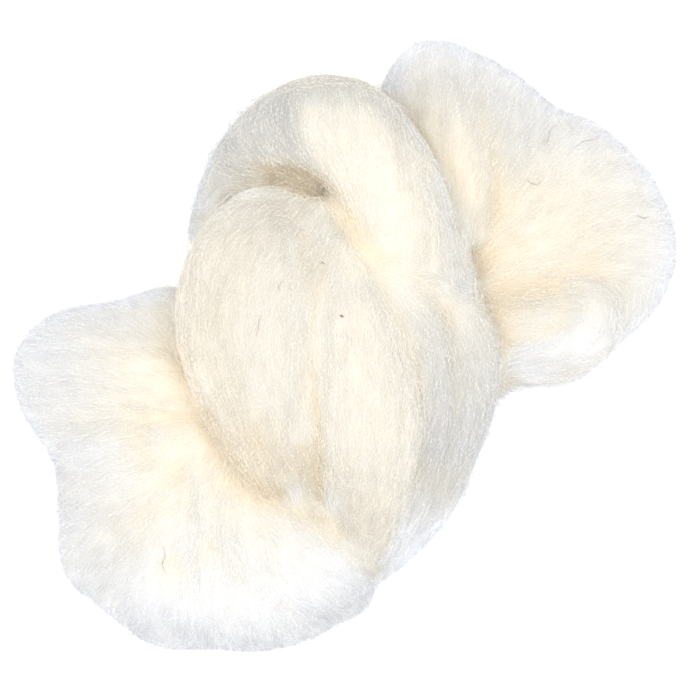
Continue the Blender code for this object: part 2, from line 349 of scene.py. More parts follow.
class RovingFuzzSettings(bpy.types.PropertyGroup):
    """The loose fibres that stand off the wool in loops."""

    loops: count_setting("Loops", "How many loose fibres stand off the knot", 7000)
    points: count_setting("Points", "Points along each loose fibre", 13)
    step: length_setting("Step", "Distance between the points of a loose fibre", 0.8 * MM)
    reach: length_setting("Reach", "How far the highest loops stand off the body", 4.4 * MM)
    width: length_setting("Width", "Width of a loose fibre", 0.13 * MM)
    crimp_height: length_setting("Crimp height", "How far the crimp swings to each side", 0.38 * MM)


class RovingStageSettings(bpy.types.PropertyGroup):
    """The floor, the light and the camera."""

    floor_size: length_setting("Floor size", "Width of the pale floor", 40.0)
    sky_strength: number_setting("Sky strength", "Strength of the soft light from all round", 0.84)
    key_power: bpy.props.FloatProperty(
        name="Key power",
        description="Power of the large soft lamp overhead",
        default=46.0,
        unit="POWER",
    )
    key_size: length_setting("Key size", "Width of the soft lamp", 2.1)
    lens: bpy.props.FloatProperty(
        name="Lens",
        description="Focal length of the camera",
        default=400.0,
        unit="CAMERA",
    )
    view_width: length_setting(
        "View width", "Width of what the camera sees at the height of the wool", 256.3 * MM
    )


# --- Materials --------------------------------------------------------------------------------------


class Shade:
    """A number in a material's nodes. Arithmetic on it adds Math nodes."""

    def __init__(self, finish, socket):
        self.finish = finish
        self.socket = socket

    def _with(self, operation, *values):
        node = self.finish.node("ShaderNodeMath", {"operation": operation}, values)
        return Shade(self.finish, node.outputs[0])

    def __add__(self, other):
        return self._with("ADD", self, other)

    def __sub__(self, other):
        return self._with("SUBTRACT", self, other)

    def __mul__(self, other):
        return self._with("MULTIPLY", self, other)

    __radd__ = __add__
    __rmul__ = __mul__

    def __rsub__(self, other):
        return self._with("SUBTRACT", other, self)

    def held(self):
        """The number, held between 0 and 1."""
        clamp = self.finish.node("ShaderNodeClamp", {}, (self, 0.0, 1.0))
        return Shade(self.finish, clamp.outputs[0])


class Finish:
    """A new material and its nodes."""

    def __init__(self, name):
        self.material = bpy.data.materials.new(name)
        self.material.use_nodes = True
        self.tree = self.material.node_tree
        self.shader = self.tree.nodes["Principled BSDF"]

    def node(self, kind, settings, inputs=()):
        """Adds a node: its settings first, then the values or links of its sockets."""
        node = self.tree.nodes.new(kind)
        for name, value in settings.items():
            setattr(node, name, value)
        pairs = inputs.items() if isinstance(inputs, dict) else enumerate(inputs)
        for key, value in pairs:
            self.feed(node.inputs[key], value)
        return node

    def feed(self, socket, value):
        """Links or sets one socket."""
        if isinstance(value, Shade):
            value = value.socket
        if isinstance(value, bpy.types.NodeSocket):
            self.tree.links.new(value, socket)
        elif socket.type == "RGBA":
            socket.default_value = (*value[:3], 1.0)
        else:
            socket.default_value = value

    def give(self, values):
        """Links or sets sockets of the shader by their names."""
        for name, value in values.items():
            self.feed(self.shader.inputs[name], value)

    def attribute(self, name):
        """A number that the piece keeps at each of its points."""
        node = self.node("ShaderNodeAttribute", {"attribute_name": name})
        return Shade(self, node.outputs["Fac"])

    def mix(self, factor, first, second, how="MIX"):
        """A colour between two."""
        settings = {"data_type": "RGBA", "blend_type": how}
        node = self.node("ShaderNodeMix", settings, {0: factor, 6: first, 7: second})
        return node.outputs[2]

    def noise(self, scale, detail):
        """Noise on the piece's own coordinates, with its middle at 0."""
        place = self.node("ShaderNodeTexCoord", {}).outputs["Object"]
        inputs = {"Vector": place, "Scale": scale, "Detail": detail}
        return Shade(self, self.node("ShaderNodeTexNoise", {}, inputs).outputs["Fac"]) - 0.5

    def wool_colour(self, colours, warmth, light):
        """Wool, from thin and cool where warmth is 0, as painted light through thin wool, through plain at
        one half, to the painted warm shade of deep folds at 1, times the lightness.
        """
        colour = self.mix((warmth * 2.0).held(), colours.thin, colours.lit)
        colour = self.mix((warmth * 2.0 - 1.0).held(), colour, colours.fold_shade)
        grey = self.node("ShaderNodeCombineColor", {}, (light, light, light)).outputs[0]
        return self.mix(1.0, colour, grey, "MULTIPLY")

    def feel_like_wool(self):
        """Wool has almost no gloss, and a soft cool sheen where it is seen from the side."""
        self.give(
            {
                "Roughness": 0.95,
                "Specular IOR Level": 0.1,
                "Sheen Weight": 0.2,
                "Sheen Roughness": 0.6,
                "Sheen Tint": (0.92, 0.95, 1.0),
            }
        )


def body_finish(colours, shade, glow_depth):
    """Soft combed wool: pale in the open, with painted warm shade in the folds and painted light and shade
    from its points, and faint wisps along the fibres.
    """
    finish = Finish("combed_wool")
    patchy_warmth, felted_light = 0.12, 0.10
    warmth = finish.attribute(WARMTH) + finish.noise(scale=60.0, detail=2.0) * patchy_warmth
    felted = finish.noise(scale=900.0, detail=3.0)
    light = finish.attribute(LIGHT) * FIBRE_RANGE + felted * felted_light + (DARKEST_FIBRE - shade)
    bump = finish.node("ShaderNodeBump", {}, {"Strength": 0.6, "Distance": 0.6 * MM, "Height": felted})
    finish.feel_like_wool()
    finish.give(
        {
            "Base Color": finish.wool_colour(colours, warmth, light),
            "Normal": bump.outputs[0],
            "Subsurface Weight": 0.5,
            "Subsurface Radius": (1.0, 0.75, 0.5),
            "Subsurface Scale": glow_depth,
        }
    )
    return finish.material


def fibre_finish(colours):
    """Single fibres, which take their lightness and warmth, painted light and shade included, from their
    place on the fibre map.
    """
    finish = Finish("wool_fibre")
    place = finish.node("ShaderNodeUVMap", {"uv_map": FIBRE_MAP}).outputs[0]
    parts = finish.node("ShaderNodeSeparateXYZ", {}, (place,)).outputs
    light = DARKEST_FIBRE + Shade(finish, parts[0]) * FIBRE_RANGE
    finish.feel_like_wool()
    finish.give({"Base Color": finish.wool_colour(colours, Shade(finish, parts[1]), light)})
    return finish.material


def stray_finish():
    """A dark hair, brown and paler in places."""
    finish = Finish("stray_hair")
    dark_brown, pale_brown = (0.09, 0.065, 0.04), (0.36, 0.28, 0.19)
    fade = (finish.noise(scale=700.0, detail=1.0) * 2.0 + 0.5).held()
    finish.give({"Base Color": finish.mix(fade, dark_brown, pale_brown), "Roughness": 0.7})
    return finish.material


def floor_finish():
    """A plain pale floor, evenly bright."""
    finish = Finish("pale_floor")
    finish.give(
        {
            "Base Color": (0.95, 0.95, 0.95),
            "Roughness": 1.0,
            "Specular IOR Level": 0.0,
            "Emission Color": (1.0, 1.0, 1.0),
            "Emission Strength": 0.30,
        }
    )
    return finish.material


# --- Shapes -----------------------------------------------------------------------------------------


def unit(vectors):
    """Each vector at length 1. One of no length stays so."""
    shortest = 1e-12
    return vectors / np.maximum(np.linalg.norm(vectors, axis=-1, keepdims=True), shortest)


def shown(mesh, material):
    """Puts a finished piece in the scene: it rides on the knot and takes its finish from the wool."""
    piece = bpy.data.objects.new(mesh.name, mesh)
    bpy.context.scene.collection.objects.link(piece)
    mesh.materials.clear()
    mesh.materials.append(material)
    mesh.shade_smooth()
    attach(piece, "root")
    return piece


def merged_copy(node):
    """A new mesh like the solid's, with its loose triangles joined."""
    bm = bmesh.new()
    bm.from_mesh(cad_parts[node].data)
    bmesh.ops.remove_doubles(bm, verts=bm.verts, dist=0.001 * MM)
    mesh = bpy.data.meshes.new("merged")
    bm.to_mesh(mesh)
    bm.free()
    return mesh


def evened(mesh, name, step, rounds):
    """The mesh rounded off and rebuilt in even faces."""
    rough = bpy.data.objects.new("rough", mesh)
    bpy.context.scene.collection.objects.link(rough)
    rounded = rough.modifiers.new("rounded", "SUBSURF")
    rounded.levels = rounded.render_levels = 1
    even = rough.modifiers.new("even", "REMESH")
    even.mode = "VOXEL"
    even.voxel_size = step
    soft = rough.modifiers.new("soft", "SMOOTH")
    soft.factor = 0.5
    soft.iterations = rounds
    graph = bpy.context.evaluated_depsgraph_get()
    made = bpy.data.meshes.new_from_object(rough.evaluated_get(graph), depsgraph=graph)
    bpy.data.objects.remove(rough)
    made.name = name
    return made


def curve_points(line, spacing):
    """Points at even steps on a smooth curve through a line's points."""
    line = np.array(line, float)
    ends = np.concatenate([2 * line[:1] - line[1:2], line, 2 * line[-1:] - line[-2:-1]])
    found = []
    for before, start, end, after in zip(ends, ends[1:], ends[2:], ends[3:]):
        count = max(round(np.linalg.norm(end - start) / spacing), 1)
        t = (np.arange(count) / count)[:, None]
        found.append(
            start * (1 + t * t * (2 * t - 3))
            + end * t * t * (3 - 2 * t)
            + (end - before) / 2 * t * (t - 1) ** 2
            + (after - start) / 2 * t * t * (t - 1)
        )
    return np.concatenate([*found, line[-1:]])


class WoolSkin:
    """The body's surface: which way its fibres run, how hollow it is and how thin the wool is there."""

    # The spacing of points along flow lines and local tones, in millimetres, and how far one point's
    # say blends into the next one's.
    GUIDE_SPACING = 5.0
    TONE_SPACING = 1.5
    GUIDE_BLUR = 1.5 * MM
    # The surface settles by a push and a slightly larger pull in turn, so that it keeps its size.
    SETTLE_ROUNDS = 25
    SETTLE_SHARES = (0.8, -0.84)
    # How often each kind of measure is evened out over its neighbours.
    TONE_ROUNDS = 12
    MEASURE_ROUNDS = 6
    SHARP_ROUNDS = 2
    STREAK_ROUNDS = 60
    # The points are weighed against the guides in so many parts, to save memory.
    PARTS = 20
    # How many ways each point looks for wool that hides the sky, how far, and where the looks begin.
    HOLLOW_RAYS = 14
    HOLLOW_REACH = 34 * MM
    OFF_SURFACE = 0.3 * MM
    # Wool thinner than THIN from top to bottom is wholly thin, and above THICK not at all. Above the
    # fans it counts for less and less.
    THIN = 10 * MM
    THICK = 24 * MM
    FAN_TOP = 30 * MM
    ABOVE_FANS = 42 * MM
    # How hollow wool is where the painted warm shade of folds begins and where it is full, and the same
    # for the painted light of dark hollows.
    OPEN = 0.10
    FOLDED = 0.60
    GLOWING = 0.40
    DARK = 0.75
    # A crease is wool that lies below its evened-out form: so many rounds, how far below the sharpest
    # lies, and how much painted warm shade it brings.
    CREASE_ROUNDS = 30
    CREASE_DEPTH = 1.5 * MM
    CREASE_SHADE_WARMTH = 0.75
    # No fibre starts below UNDERSIDE, nor on wool that faces down and lies below LOW.
    UNDERSIDE = 1 * MM
    LOW = 8 * MM
    DOWNWARD = -0.8
    # Rays from above start higher than any wool.
    ABOVE = 0.5
    # The smallest cell that keeps the faces of one place together, and how often cells are doubled.
    CELL = 2 * MM
    CELL_BITS = 8

    def __init__(self, mesh, seed):
        self.rng = np.random.default_rng(seed)
        self.mesh = mesh
        self.points = self.read(mesh.vertices, "co", 3)
        self.edges = self.read(mesh.edges, "vertices", 2, np.int32)
        corners = self.read(mesh.loops, "vertex_index", 1, np.int32)[:, 0]
        self.faces = corners.reshape(-1, 4)
        self.settle()
        self.reshaped()
        self.areas = self.read(mesh.polygons, "area", 1)[:, 0]
        self.order = self.neighbours_together()
        self.flow, self.region, self.tint, self.light = self.find_flow()
        lighter, self.warmer = self.find_painted_tones()
        self.light += lighter
        self.hollow = self.find_hollow()
        self.crease = self.find_crease()
        self.thin = self.find_thin()

    @staticmethod
    def read(items, name, width, kind=np.float64):
        found = np.empty(len(items) * width, kind)
        items.foreach_get(name, found)
        return found.reshape(-1, width)

    def reshaped(self):
        """Gives the mesh its new points."""
        self.mesh.vertices.foreach_set("co", self.points.ravel())
        self.mesh.update()
        self.normals = self.read(self.mesh.vertices, "normal", 3)
        self.tree = BVHTree.FromPolygons(self.points.tolist(), self.faces.tolist())

    def settle(self):
        """Evens out the small facets, and leaves the size of the larger forms as it is."""
        for _ in range(self.SETTLE_ROUNDS):
            for share in self.SETTLE_SHARES:
                mean = np.stack([self.smoothed(axis, 1) for axis in self.points.T], 1)
                self.points = self.points + share * (mean - self.points)
        self.points[:, 2] = np.maximum(self.points[:, 2], 0)

    def keep(self, name, values):
        """Keeps a number at each point of the mesh, for its finish to read."""
        layer = self.mesh.attributes.new(name, "FLOAT", "POINT")
        layer.data.foreach_set("value", values)

    def on_faces(self, values):
        """The mean of each face's points."""
        return values[self.faces].mean(1)

    def smoothed(self, values, rounds):
        """A number at each point, evened out over its neighbours."""
        first, second = self.edges.T
        count = np.bincount(self.edges.ravel(), minlength=len(values)) + 1
        for _ in range(rounds):
            total = np.bincount(first, values[second], len(values))
            total += np.bincount(second, values[first], len(values))
            values = (values + total) / count
        return values

    def laid(self, line, spacing):
        """A line seen from above, in millimetres, laid on the surface: its points that meet it."""
        found = []
        for x, y in curve_points(line, spacing) * MM:
            place, normal, *_ = self.tree.ray_cast(Vector((x, y, self.ABOVE)), Vector((0, 0, -1)))
            if place is not None:
                found.append((place, normal))
        return np.array(found).transpose(1, 0, 2)

    def guides(self):
        """Points on the surface, the run of the fibres there, and the region and painted tones of each."""
        places, ways, regions, tones = [], [], [], []
        for region, (name, lines) in enumerate(FLOW_LINES.items()):
            for line in lines:
                laid, _ = self.laid(line, self.GUIDE_SPACING)
                places.append((laid[1:] + laid[:-1]) / 2)
                ways.append(unit(laid[1:] - laid[:-1]))
                regions.append(np.full(len(laid) - 1, region))
                tones.append(self.tones_along(len(laid) - 1, PAINTED_RUNS[name]))
        return [np.concatenate(part) for part in (places, ways, regions, tones)]

    @staticmethod
    def tones_along(count, run):
        """The painted tint and lightness at even steps along a line. The tint is above 0 where the wool is
        painted warm, as shade, and below 0 where it is painted pale, as light through thin wool."""
        along = np.linspace(0, 1, count)
        gathered = np.clip(1 - along / run.wears_off, 0, 1)
        opened = np.clip((along - run.opens_from) / (1 - run.opens_from), 0, 1)
        rim = np.clip((along - RIM_FROM) / (1 - RIM_FROM), 0, 1)
        tint = run.warm * gathered - run.pale * opened
        return np.stack([tint, run.near * gathered + run.far * opened + run.rim * rim], 1)

    def find_flow(self):
        """The run of the fibres at each point, along the surface, and its region and its painted tint and
        lightness.
        """
        places, ways, regions, tones = self.guides()
        runs = (ways[:, :, None] * ways[:, None, :]).reshape(-1, 9)
        known = np.column_stack([runs, np.eye(len(FLOW_LINES))[regions], tones])
        found = []
        for part in np.array_split(self.points, self.PARTS):
            apart = ((part[:, None] - places[None]) ** 2).sum(2)
            weight = 1.0 / (apart + self.GUIDE_BLUR**2) ** 2
            found.append(weight @ known / weight.sum(1, keepdims=True))
        run, member, tones = np.split(np.concatenate(found), (9, 9 + len(FLOW_LINES)), axis=1)
        flat = np.eye(3) - self.normals[:, :, None] * self.normals[:, None, :]
        _, axes = np.linalg.eigh(flat @ run.reshape(-1, 3, 3) @ flat)
        tint, light = (self.smoothed(tone, self.TONE_ROUNDS) for tone in tones.T)
        return unit(axes[:, :, 2]), member.argmax(1), tint, light

    def find_painted_tones(self):
        """How much lighter and how much warmer the painted light and shade of the tones make each point.
        """
        lighter, warmer = np.zeros((2, len(self.points)))
        for tone in PAINTED_TONES.values():
            apart = np.full(len(self.points), np.inf)
            for place in curve_points(tone.line, self.TONE_SPACING) * MM:
                apart = np.minimum(apart, np.hypot(*(self.points[:, :2] - place).T))
            near = np.exp(-((apart / (tone.reach * MM)) ** 2))
            lighter += tone.light * near
            warmer += tone.warm * near
        return lighter, warmer

    def find_hollow(self):
        """How much of the sky the wool itself hides from each point: 0 in the open, 1 deep in a fold."""
        hidden = np.zeros(len(self.points))
        aims = self.rng.normal(size=(len(self.points), self.HOLLOW_RAYS, 3)) + self.normals[:, None]
        aims *= np.sign((aims * self.normals[:, None]).sum(2, keepdims=True))
        starts = self.points + self.normals * self.OFF_SURFACE
        for i, (start, rays) in enumerate(zip(starts.tolist(), unit(aims).tolist())):
            for ray in rays:
                *_, far = self.tree.ray_cast(start, ray, self.HOLLOW_REACH)
                if far is not None:
                    hidden[i] += 1 - far / self.HOLLOW_REACH
        return self.smoothed(hidden / self.HOLLOW_RAYS, self.MEASURE_ROUNDS)

    def find_crease(self):
        """How sharp a crease each point lies in: 0 on flat and swelling wool, 1 in a sharp crease."""
        evened = np.stack([self.smoothed(axis, self.CREASE_ROUNDS) for axis in self.points.T], 1)
        sunk = ((evened - self.points) * self.normals).sum(1)
        return self.smoothed(np.clip(sunk / self.CREASE_DEPTH, 0, 1), self.SHARP_ROUNDS)

    def find_thin(self):
        """How thin the wool is from top to bottom at each point: 0 where thick, 1 at its thin edges."""
        depth = np.zeros(len(self.points))
        for i, (x, y, _) in enumerate(self.points.tolist()):
            top, *_ = self.tree.ray_cast(Vector((x, y, self.ABOVE)), Vector((0, 0, -1)))
            bottom, *_ = self.tree.ray_cast(Vector((x, y, -self.ABOVE)), Vector((0, 0, 1)))
            if top is not None and bottom is not None:
                depth[i] = top.z - bottom.z
        low = np.clip((self.ABOVE_FANS - self.points[:, 2]) / (self.ABOVE_FANS - self.FAN_TOP), 0, 1)
        thin = low * np.clip((self.THICK - depth) / (self.THICK - self.THIN), 0, 1)
        return self.smoothed(thin, self.MEASURE_ROUNDS)

    def warmth(self):
        """How warm the wool is painted at each point: 0 where thin, as light through it, one half where
        plain, 1 deep in folds and creases, as their shade.
        """
        folded = np.clip((self.hollow - self.OPEN) / (self.FOLDED - self.OPEN), 0, 1)
        plain = (1 - folded) * (1 - self.CREASE_SHADE_WARMTH * self.crease) * (1 - np.clip(self.tint, 0, 1))
        pale = np.clip(np.maximum(self.thin, -self.tint), 0, 1)
        return np.clip(1 - PLAIN * plain - PLAIN * pale * plain + self.warmer, 0, 1)

    def deep(self):
        """How deep each point lies in a hollow that is too deep to glow, from 0 to 1, which sets the
        painted light of the deepest hollows.
        """
        return np.clip((self.hollow - self.GLOWING) / (self.DARK - self.GLOWING), 0, 1)

    def open_faces(self):
        """How much of the fibres each face gets: its share of the area, without the underside."""
        height = self.points[self.faces[:, 0], 2]
        upward = self.normals[self.faces[:, 0], 2]
        seen = (height > self.UNDERSIDE) & ((upward > self.DOWNWARD) | (height > self.LOW))
        share = self.areas * seen
        return share / share.sum()

    def neighbours_together(self):
        """The faces in an order that keeps those of one place together: cells within cells, eight to
        each."""
        middles = self.points[self.faces].mean(1)
        cells = ((middles - middles.min(0)) / self.CELL).astype(int)
        code = np.zeros(len(cells), int)
        for bit in range(self.CELL_BITS):
            for axis in range(3):
                code |= ((cells[:, axis] >> bit) & 1) << (3 * bit + axis)
        return np.argsort(code)

    def scattered(self, share, count, rng):
        """Places spread evenly over the surface, by each face's share of them: the face and the point."""
        total = share[self.order].cumsum()
        picks = (np.arange(count) + rng.random(count)) / count * total[-1]
        faces = self.order[np.searchsorted(total, picks)]
        one, two, three, four = self.points[self.faces[faces]].transpose(1, 0, 2)
        across, along = rng.random((2, count, 1))
        return faces, (one * (1 - across) + two * across) * (1 - along) + (
            four * (1 - across) + three * across
        ) * along

    def next_points(self):
        """For each point the neighbour that lies furthest back along the flow, and furthest on."""
        start = np.concatenate([self.edges[:, 0], self.edges[:, 1]])
        end = np.concatenate([self.edges[:, 1], self.edges[:, 0]])
        onward = (unit(self.points[end] - self.points[start]) * self.flow[start]).sum(1)
        order = np.lexsort((onward, start))
        start, end = start[order], end[order]
        first = np.searchsorted(start, np.arange(len(self.points)))
        last = np.searchsorted(start, np.arange(len(self.points)), side="right") - 1
        return end[first], end[last]

    def streaks(self, blur, steps):
        """Random light and dark drawn out along the flow, with its mean at 0 and a spread of 1."""
        grain = self.smoothed(self.rng.normal(size=len(self.points)), blur)
        back, on = self.next_points()
        total = grain.copy()
        for sign in (-1, 1):
            here = np.arange(len(self.points))
            way = np.full(len(self.points), sign)
            for _ in range(steps):
                there = np.where(way > 0, on[here], back[here])
                way = way * np.where((self.flow[there] * self.flow[here]).sum(1) < 0, -1, 1)
                here = there
                total += grain[here]
        total = self.smoothed(total, self.SHARP_ROUNDS)
        total -= self.smoothed(total, self.STREAK_ROUNDS)
        return total / total.std()

    def walk(self, starts, ways, steps, length, free):
        """Paths over the surface. At each step a path turns towards the flow, less so the freer it is.
        Returns the places and normals of its points, and the face that each lies on."""
        flow = self.flow[self.faces[:, 0]].tolist()
        places = np.empty((len(starts), steps, 3))
        normals = np.empty((len(starts), steps, 3))
        faces = np.empty((len(starts), steps), np.int32)
        for i, (place, way) in enumerate(zip(starts, ways)):
            place, way = Vector(place), Vector(way)
            for step in range(steps):
                place, normal, face, _ = self.tree.find_nearest(place)
                places[i, step] = place
                normals[i, step] = normal
                faces[i, step] = face
                along = Vector(flow[face])
                if along.dot(way) < 0:
                    along.negate()
                way = along.lerp(way, free)
                way = (way - normal * way.dot(normal)).normalized()
                place = place + way * length
        return places, normals, faces


# The body's surface, once its operator has made it.
skins = []


def turned(vectors, axes, angles):
    """Each vector turned about its axis, to which it is square."""
    angles = angles[..., None]
    return vectors * np.cos(angles) + np.cross(axes, vectors) * np.sin(angles)


def ribbons(name, paths, across, widths, on_map):
    """One mesh of many fibres as flat ribbons. Each point of a fibre has its place, the unit direction
    across the ribbon, its width and its place on the fibre map."""
    fibres, points, _ = paths.shape
    half = across * widths[:, :, None] / 2
    edges = np.stack([paths - half, paths + half], 2).reshape(-1, 3)
    first = 2 * (np.arange(fibres)[:, None] * points + np.arange(points - 1)).ravel()
    quads = first[:, None] + np.array([0, 2, 3, 1])
    mesh = bpy.data.meshes.new(name)
    mesh.vertices.add(len(edges))
    mesh.vertices.foreach_set("co", edges.ravel())
    mesh.loops.add(quads.size)
    mesh.loops.foreach_set("vertex_index", quads.ravel())
    mesh.polygons.add(len(quads))
    mesh.polygons.foreach_set("loop_start", np.arange(0, quads.size, 4))
    mesh.update(calc_edges=True)
    patch = PATCH * np.array([(side, point % 2) for point in range(points) for side in (0, 1)])
    places = np.repeat(on_map, 2, axis=1) + patch
    layer = mesh.uv_layers.new(name=FIBRE_MAP)
    layer.uv.foreach_set("vector", places.reshape(-1, 2)[quads.ravel()].ravel())
    return mesh


def on_fibre_map(light, warmth):
    """The place on the fibre map of each point's lightness and warmth, both from 0 to 1."""
    edge = 2 * PATCH
    return edge + (1 - 2 * edge - PATCH) * np.stack([np.clip(light, 0, 1), np.clip(warmth, 0, 1)], 2)


def crimped(walked, lift, crimp, facing, rng):
    """Gives walked paths a fibre's crimp. lift is how far each stands off the body, crimp the length and
    height of its waves, all fibre by fibre or point by point, and facing how far their flat side turns
    up. Returns the paths, their across and along directions and how high each point rides on its waves."""
    places, normals, _ = walked
    fibres, points, _ = places.shape
    length, height = crimp
    run = np.linalg.norm(np.diff(places, axis=1, prepend=places[:, :1]), axis=2).cumsum(1)
    turn = 2 * math.pi * run / length
    phase = rng.uniform(0, 2 * math.pi, (3, fibres, 1))
    wave = np.sin(turn * CRIMP_LIFT_PACE + phase[1])
    bend = BEND * height * np.sin(turn * BEND_PACE + phase[2])
    aside = height * np.sin(turn + phase[0]) + bend
    across = unit(np.cross(normals, unit(np.gradient(places, axis=1))))
    lift = lift + CRIMP_LIFT * height * wave
    paths = places + across * aside[:, :, None] + normals * lift[:, :, None]
    paths[:, :, 2] = np.maximum(paths[:, :, 2], LOWEST)
    along = unit(np.gradient(paths, axis=1))
    return paths, unit(np.cross(normals + (0, 0, facing), along)), along, wave


# --- Operators --------------------------------------------------------------------------------------


def the_skin():
    """The body's surface, which the body's operator works out once."""
    if not skins:
        raise RuntimeError("the body is made first, because the fibres lie on it")
    return skins[0]


def for_this_look(count):
    return count // 1


def bowed(points, bluntness):
    """How high a bow stands at these points, which run from 0 to 1. Below a bluntness of 1 it is blunt."""
    return np.sin(math.pi * points) ** bluntness


def tapered(width, end, bow):
    """The width or height along a fibre: a share of it at its ends, and all of it on top of its bow."""
    return width * (end + (1 - end) * bow)


class ROVING_OT_body(bpy.types.Operator):
    """Make the soft combed body of the knot"""

    bl_idname = "roving.body"
    bl_label = "Wool body"

    SMOOTHING = 6
    WISP_BLUR = 1
    WISP_STEPS = 12
    BASE = 3 * MM
    SEED = 7

    def execute(self, context):
        settings = context.scene.roving_body
        mesh = evened(merged_copy(ROVING_NODE), BODY_NAME, settings.skin_step, self.SMOOTHING)
        skin = WoolSkin(mesh, self.SEED)
        skin.streak = skin.streaks(self.WISP_BLUR, self.WISP_STEPS)
        off_base = np.clip(skin.points[:, 2] / self.BASE, 0, 1)
        inset = settings.inset + settings.thin_inset * skin.thin
        raised = off_base * (skin.streak * settings.wisp_height - inset)
        skin.points = skin.points + skin.normals * raised[:, None]
        skin.reshaped()
        # The lightness: painted light and shade of the runs and tones, a random tone from wisp to wisp,
        # then painted light through thin wool and in the deepest hollows.
        skin.light = USUAL_LIGHT + skin.light + settings.wisp_light * skin.streak
        skin.light += settings.painted_thin_light * skin.thin + settings.painted_deep_light * skin.deep()
        skin.keep(LIGHT, skin.light)
        # The warmth: painted warm shade of folds and creases, and painted cool light of thin wool.
        skin.keep(WARMTH, skin.warmth())
        skins.append(skin)
        body = shown(mesh, body_finish(context.scene.roving_colours, settings.shade, settings.glow_depth))
        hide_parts(ROVING_NODE)
        return {"FINISHED"}


class ROVING_OT_fibres(bpy.types.Operator):
    """Lay the crimped fibres on the body, one piece for each part of the knot"""

    bl_idname = "roving.fibres"
    bl_label = "Wool fibres"

    # How far a fibre keeps its own way at each step, against the run of the wool.
    FREE = 0.4
    # How fibres differ, as shares of the settings, how rare high ones are, and how narrow their ends.
    LIFTS = (0.1, 1.0)
    HIGH_IS_RARE = 1.3
    LENGTHS = (0.7, 1.4)
    HEIGHTS = (0.4, 1.3)
    WIDTHS = (0.6, 1.3)
    BLUNTNESS = 0.6
    END_WIDTH = 0.35
    # How much the lightness varies from fibre to fibre, and how much more on steep wool, in folds and on
    # darker wool. High fibres and the tops of their waves get a painted highlight: they are lighter.
    CONTRAST = 0.31
    STEEP_CONTRAST = 0.7
    FOLD_CONTRAST = 0.8
    DARK_CONTRAST = 1.2
    TOP_HIGHLIGHT = 0.5
    SEED = 11

    def execute(self, context):
        settings = context.scene.roving_fibres
        skin = the_skin()
        material = fibre_finish(context.scene.roving_colours)
        rng = np.random.default_rng(self.SEED)
        share = skin.open_faces()
        region = skin.region[skin.faces[:, 0]]
        fibres = for_this_look(settings.fibres)
        for number, name in enumerate(FLOW_LINES):
            here = share * (region == number)
            faces, starts = skin.scattered(here, round(fibres * here.sum()), rng)
            shown(self.combed(f"fibres_{name}", skin, faces, starts, settings, rng), material)
        return {"FINISHED"}

    def combed(self, name, skin, faces, starts, settings, rng):
        """The fibres that start at these points on these faces."""
        fibres = len(faces)
        heads = skin.faces[faces, 0]
        side = rng.choice((-1, 1), fibres)[:, None]
        ways = turned(skin.flow[heads] * side, skin.normals[heads], rng.normal(0, settings.stray, fibres))
        walked = skin.walk(starts, ways, settings.points, settings.step, self.FREE)
        bow = bowed((np.arange(settings.points) + 0.5) / settings.points, self.BLUNTNESS)
        lift = settings.lift * rng.uniform(*self.LIFTS, (fibres, 1)) ** self.HIGH_IS_RARE * bow
        length = settings.crimp_length * rng.uniform(*self.LENGTHS, (fibres, 1))
        height = settings.crimp_height * rng.uniform(*self.HEIGHTS, (fibres, 1))
        paths, across, along, wave = crimped(walked, lift, (length, height), settings.facing, rng)
        across = turned(across, along, settings.roll * np.roll(wave, 1, axis=1))
        widths = tapered(settings.width * rng.uniform(*self.WIDTHS, (fibres, 1)), self.END_WIDTH, bow)
        own = rng.uniform(-0.5, 0.5, (fibres, 1))
        # Painted highlight on high fibres and on the crests of their waves.
        own = own + self.TOP_HIGHLIGHT * (lift / settings.lift - 0.5) + self.TOP_HIGHLIGHT * wave
        steep = 1 - skin.normals[heads, 2][:, None]
        warmth = skin.on_faces(skin.warmth())[walked[2]]
        light = skin.on_faces(skin.light)[walked[2]]
        folded, dark = np.maximum(warmth - PLAIN, 0), np.maximum(USUAL_LIGHT - light, 0)
        contrast = self.CONTRAST + self.STEEP_CONTRAST * steep
        contrast = contrast + self.FOLD_CONTRAST * folded + self.DARK_CONTRAST * dark
        light = light + own * contrast
        return ribbons(name, paths, across, widths, on_fibre_map(light, warmth))


